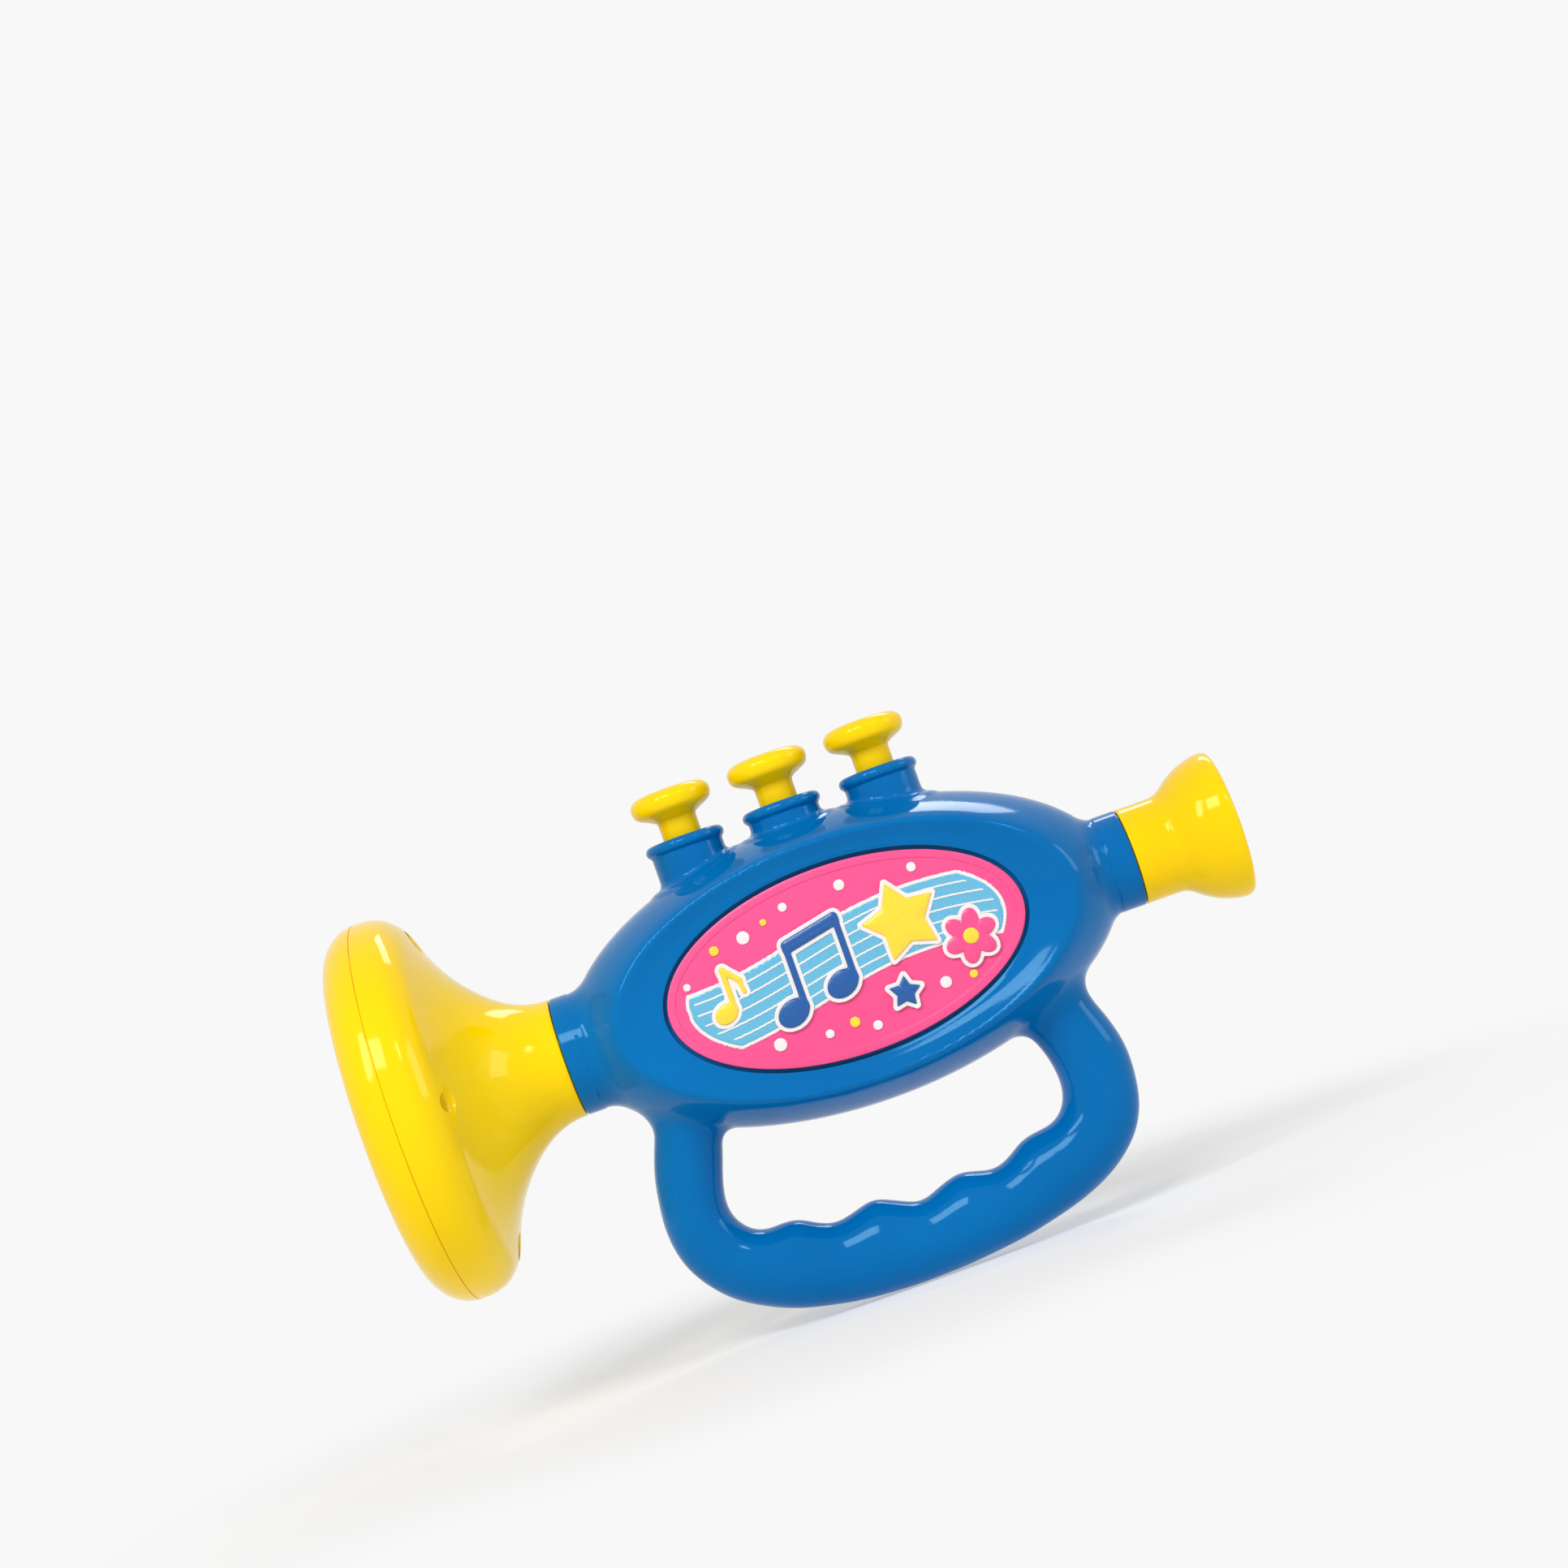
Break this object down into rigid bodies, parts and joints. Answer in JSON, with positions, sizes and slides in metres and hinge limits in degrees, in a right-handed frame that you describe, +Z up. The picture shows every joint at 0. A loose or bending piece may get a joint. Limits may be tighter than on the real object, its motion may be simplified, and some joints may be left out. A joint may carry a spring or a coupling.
{
  "type": "toy trumpet",
  "caption": "Moulded plastic toy trumpet with a wide bell, oval body and panel, finger-grip loop handle, cup mouthpiece and sprung piston buttons over reeds.",
  "frame": {"origin": "centre of the whole object's bounding box, on the plane where the two body shells meet", "axes": "+X along the trumpet's axis from the bell to the mouthpiece, +Z up the valve buttons away from the handle, -Y out of the panel"},
  "size_m": [0.26, 0.114, 0.159],
  "materials": {
    "blue_plastic": "polished moulded surface",
    "yellow_plastic": "polished moulded surface",
    "pink_panel": "moulded relief with printed colours",
    "white_plastic": "as moulded",
    "steel": "plated",
    "brass": "rolled strip",
    "rubber": "moulded"
  },
  "bodies": {
    "housing": {"body_shell_front": "blue_plastic", "body_shell_rear": "blue_plastic", "emblem_panel": "pink_panel", "bell_flare": "yellow_plastic", "bell_rim": "yellow_plastic", "mouthpiece": "yellow_plastic", "blow_tube": "white_plastic", "air_chamber": "white_plastic", "chamber_lid": "white_plastic", "reed_plate": "steel", "reed_1": "brass", "reed_2": "brass", "reed_3": "brass", "body_screw_1": "steel", "body_screw_2": "steel", "body_screw_3": "steel", "body_screw_4": "steel", "body_screw_5": "steel", "body_screw_6": "steel", "body_screw_7": "steel", "bell_screw_1": "steel", "bell_screw_2": "steel", "bell_screw_3": "steel", "bell_screw_4": "steel"},
    "valve_1": {"valve_plunger_1": "yellow_plastic", "valve_pad_1": "rubber", "valve_spring_1": "steel"},
    "valve_2": {"valve_plunger_2": "yellow_plastic", "valve_pad_2": "rubber", "valve_spring_2": "steel"},
    "valve_3": {"valve_plunger_3": "yellow_plastic", "valve_pad_3": "rubber", "valve_spring_3": "steel"}
  },
  "joints": [
    {"name": "valve_slide_1", "type": "slide", "parent": "housing", "child": "valve_1", "axis": [0, 0, -1], "range_m": [0, 0.005], "stiffness_N_per_m": 120, "springref_m": -0.005, "deforming": ["valve_spring_1"]},
    {"name": "valve_slide_2", "type": "slide", "parent": "housing", "child": "valve_2", "axis": [0, 0, -1], "range_m": [0, 0.005], "stiffness_N_per_m": 120, "springref_m": -0.005, "deforming": ["valve_spring_2"]},
    {"name": "valve_slide_3", "type": "slide", "parent": "housing", "child": "valve_3", "axis": [0, 0, -1], "range_m": [0, 0.005], "stiffness_N_per_m": 120, "springref_m": -0.005, "deforming": ["valve_spring_3"]}
  ]
}
